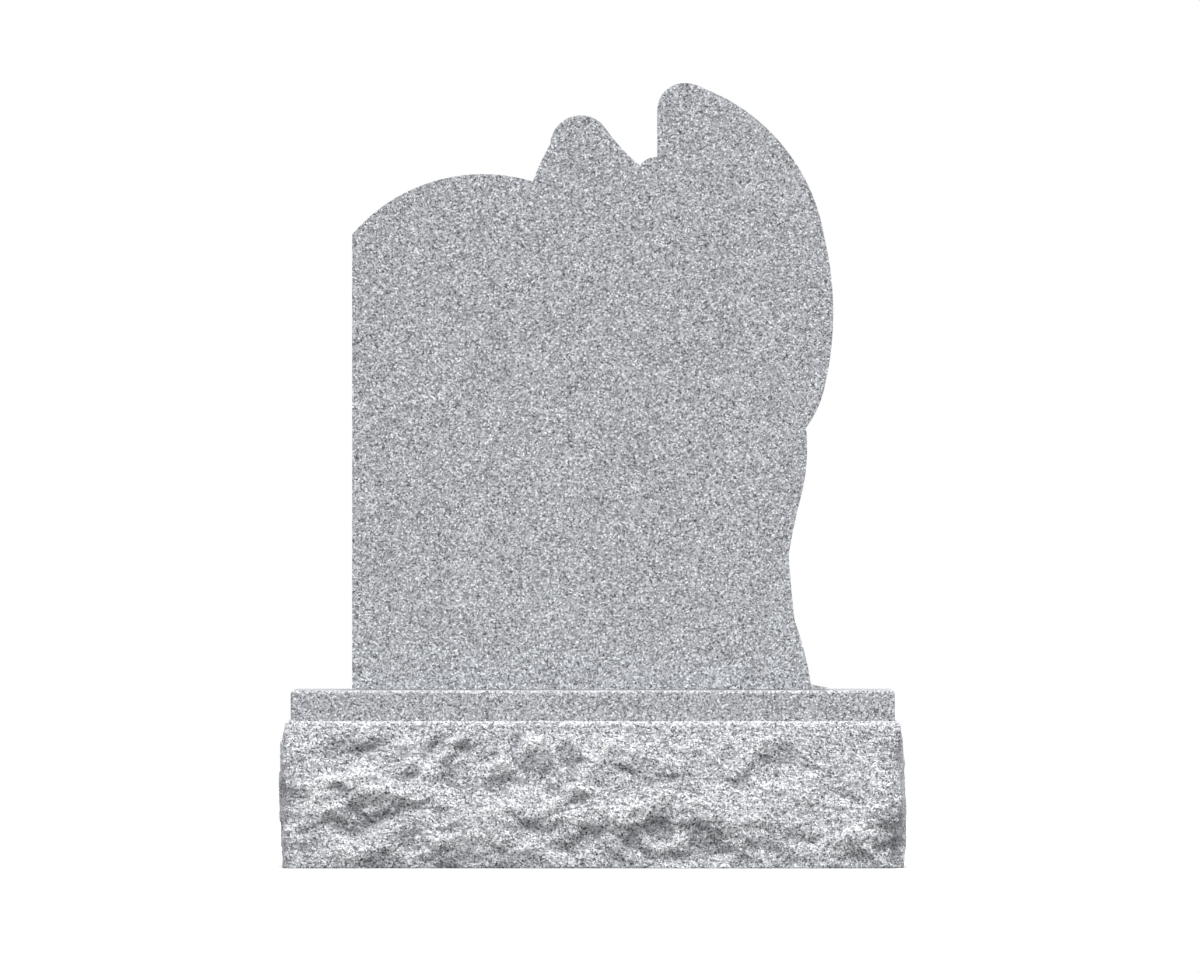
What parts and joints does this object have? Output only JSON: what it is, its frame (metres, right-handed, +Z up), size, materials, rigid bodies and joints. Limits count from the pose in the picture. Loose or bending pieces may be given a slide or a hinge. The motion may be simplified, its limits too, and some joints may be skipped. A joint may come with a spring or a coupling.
{
  "type": "granite headstone with a winged angel outline",
  "caption": "Upright granite headstone cut to the outline of an angel beside a round-topped tablet, on a base with a smooth margin and rock-pitched faces.",
  "frame": {"origin": "middle of the base's underside, on the ground", "axes": "+Z up; +X to the right as the front is seen, towards the angel's wing; the front faces -Y"},
  "size_m": [0.717, 0.311, 0.897],
  "materials": {
    "smooth_granite": "matte",
    "base_granite": "matte",
    "setting_compound": "matte"
  },
  "bodies": {
    "root": {"die": "smooth_granite", "setting_bed": "setting_compound", "base": "base_granite"}
  },
  "joints": []
}
